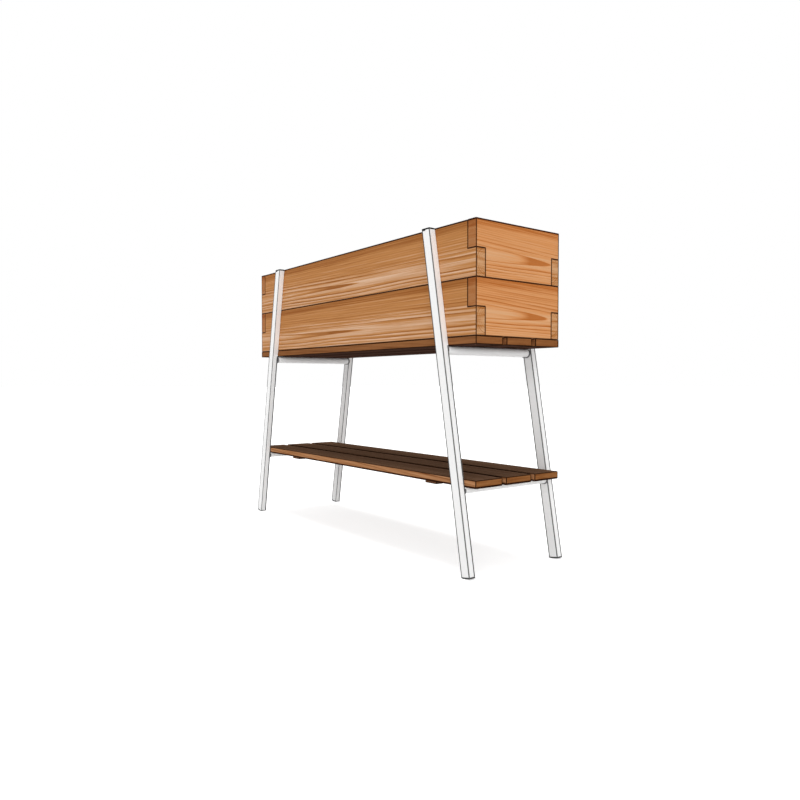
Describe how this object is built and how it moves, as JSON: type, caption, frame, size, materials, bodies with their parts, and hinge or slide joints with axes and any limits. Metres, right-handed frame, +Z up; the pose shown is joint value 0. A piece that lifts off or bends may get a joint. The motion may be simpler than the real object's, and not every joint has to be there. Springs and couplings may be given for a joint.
{
  "type": "raised planter on legs",
  "caption": "Long wooden planter box of half-lapped boards, on white steel legs that lean outwards, with a slatted shelf beneath.",
  "frame": {"origin": "on the floor under the middle of the planter", "axes": "+X along the box to its right end, +Y to the rear, +Z up"},
  "size_m": [1.1418, 0.3406, 0.865],
  "materials": {
    "oiled_wood": "warm orange-brown planed softwood with open flame grain, oiled",
    "slat_wood": "the same wood, a shade darker, oiled",
    "white_steel": "white powder coat, satin",
    "black_plastic": "black moulded polyethylene",
    "white_plastic": "white moulded polyethylene",
    "fleece": "charcoal needle-felted planting fleece",
    "zinc_steel": "bright zinc plate",
    "dowel_wood": "plain beech"
  },
  "bodies": {
    "root": {"lower_front_board": "oiled_wood", "lower_rear_board": "oiled_wood", "lower_left_end_board": "oiled_wood", "lower_right_end_board": "oiled_wood", "upper_front_board": "oiled_wood", "upper_rear_board": "oiled_wood", "upper_left_end_board": "oiled_wood", "upper_right_end_board": "oiled_wood", "base_slat_front": "slat_wood", "shelf_slat_front": "slat_wood", "base_slat_middle": "slat_wood", "shelf_slat_middle": "slat_wood", "base_slat_rear": "slat_wood", "shelf_slat_rear": "slat_wood", "shelf_batten_left": "slat_wood", "upper_crossbar_left": "white_steel", "lower_crossbar_left": "white_steel", "shelf_batten_right": "slat_wood", "upper_crossbar_right": "white_steel", "lower_crossbar_right": "white_steel", "leg_front_left": "white_steel", "leg_cap_front_left": "black_plastic", "foot_front_left": "white_plastic", "corner_dowel_front_left": "dowel_wood", "leg_bolt_lower_front_left": "zinc_steel", "leg_insert_lower_front_left": "zinc_steel", "leg_bolt_upper_front_left": "zinc_steel", "leg_insert_upper_front_left": "zinc_steel", "leg_rear_left": "white_steel", "leg_cap_rear_left": "black_plastic", "foot_rear_left": "white_plastic", "corner_dowel_rear_left": "dowel_wood", "leg_bolt_lower_rear_left": "zinc_steel", "leg_insert_lower_rear_left": "zinc_steel", "leg_bolt_upper_rear_left": "zinc_steel", "leg_insert_upper_rear_left": "zinc_steel", "leg_front_right": "white_steel", "leg_cap_front_right": "black_plastic", "foot_front_right": "white_plastic", "corner_dowel_front_right": "dowel_wood", "leg_bolt_lower_front_right": "zinc_steel", "leg_insert_lower_front_right": "zinc_steel", "leg_bolt_upper_front_right": "zinc_steel", "leg_insert_upper_front_right": "zinc_steel", "leg_rear_right": "white_steel", "leg_cap_rear_right": "black_plastic", "foot_rear_right": "white_plastic", "corner_dowel_rear_right": "dowel_wood", "leg_bolt_lower_rear_right": "zinc_steel", "leg_insert_lower_rear_right": "zinc_steel", "leg_bolt_upper_rear_right": "zinc_steel", "leg_insert_upper_rear_right": "zinc_steel", "liner": "fleece"}
  },
  "joints": []
}
